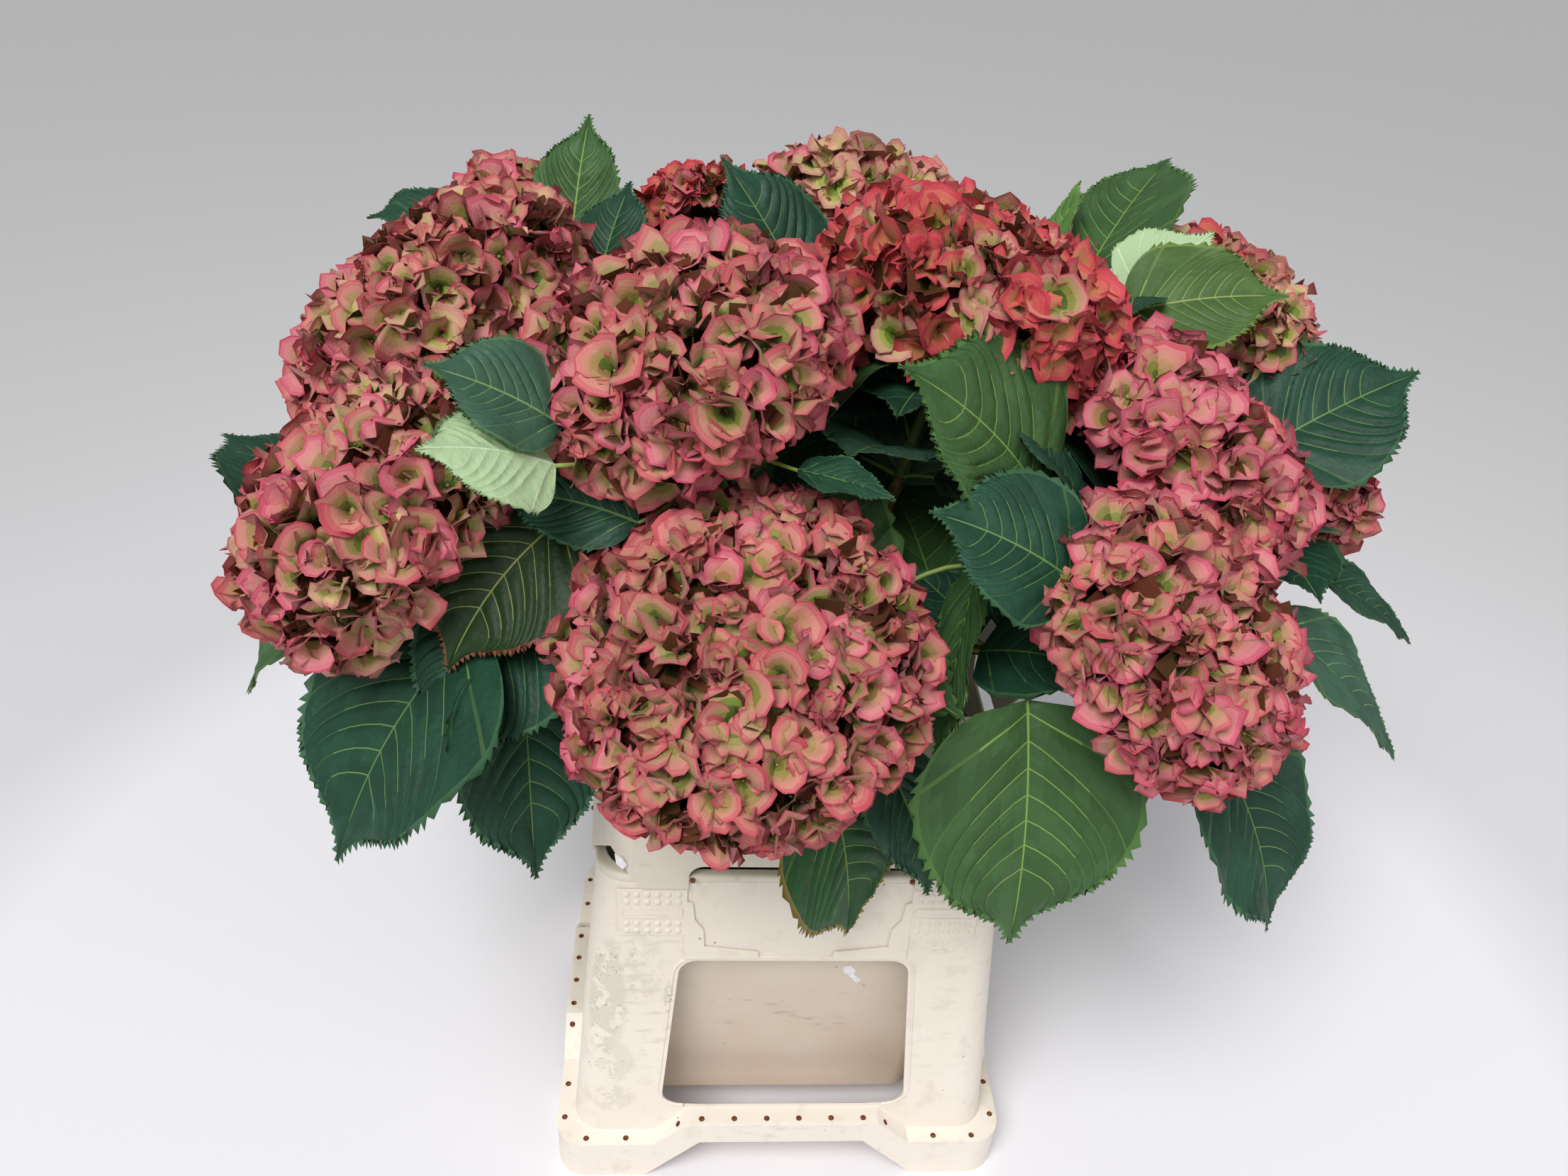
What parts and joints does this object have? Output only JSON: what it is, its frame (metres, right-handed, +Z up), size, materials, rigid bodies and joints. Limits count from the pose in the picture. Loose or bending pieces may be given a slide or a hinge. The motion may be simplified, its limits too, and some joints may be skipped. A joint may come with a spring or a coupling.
{
  "type": "cut mophead hydrangeas in a stackable flower crate",
  "caption": "Cut mophead hydrangeas with round pink flower heads and broad toothed leaves, standing in a double-walled plastic crate with a slotted collar on its rim.",
  "frame": {"origin": "on the floor, under the middle of the crate's foot plan", "axes": "+Z up, -Y out of the crate's long front side that faces the camera in the picture, +X to the viewer's right"},
  "size_m": [0.8497, 0.6452, 0.7038],
  "materials": {
    "crate_plastic": "cream moulded polypropylene, scuffed and dusty",
    "collar_plastic": "cream polypropylene sheet, folded at the corners, scuffed",
    "stem": "green-brown young stem with raised nodes",
    "leaf": "dark green toothed leaf with pale veins",
    "bloom": "rose sepals with green hearts and crimson edges"
  },
  "bodies": {
    "root": {"crate_outer_frame": "crate_plastic", "crate_inner_bucket": "crate_plastic", "crate_collar_front": "collar_plastic", "crate_collar_back": "collar_plastic", "crate_collar_left": "collar_plastic", "crate_collar_right": "collar_plastic", "crate_collar_front_left": "collar_plastic", "crate_collar_front_right": "collar_plastic", "crate_collar_back_left": "collar_plastic", "crate_collar_back_right": "collar_plastic", "stem_01": "stem", "stem_02": "stem", "stem_03": "stem", "stem_04": "stem", "stem_05": "stem", "stem_06": "stem", "stem_07": "stem", "stem_08": "stem", "stem_09": "stem", "stem_10": "stem", "stem_11": "stem", "stem_12": "stem", "stem_13": "stem", "stem_14": "stem", "leaves_01": "leaf", "leaves_02": "leaf", "leaves_03": "leaf", "leaves_04": "leaf", "leaves_05": "leaf", "leaves_06": "leaf", "leaves_07": "leaf", "leaves_08": "leaf", "leaves_09": "leaf", "leaves_10": "leaf", "leaves_11": "leaf", "leaves_12": "leaf", "leaves_13": "leaf", "leaves_14": "leaf", "bloom_01": "bloom", "bloom_02": "bloom", "bloom_03": "bloom", "bloom_04": "bloom", "bloom_05": "bloom", "bloom_06": "bloom", "bloom_07": "bloom", "bloom_08": "bloom", "bloom_09": "bloom", "bloom_10": "bloom", "bloom_11": "bloom", "bloom_12": "bloom", "bloom_13": "bloom", "bloom_14": "bloom"}
  },
  "joints": []
}
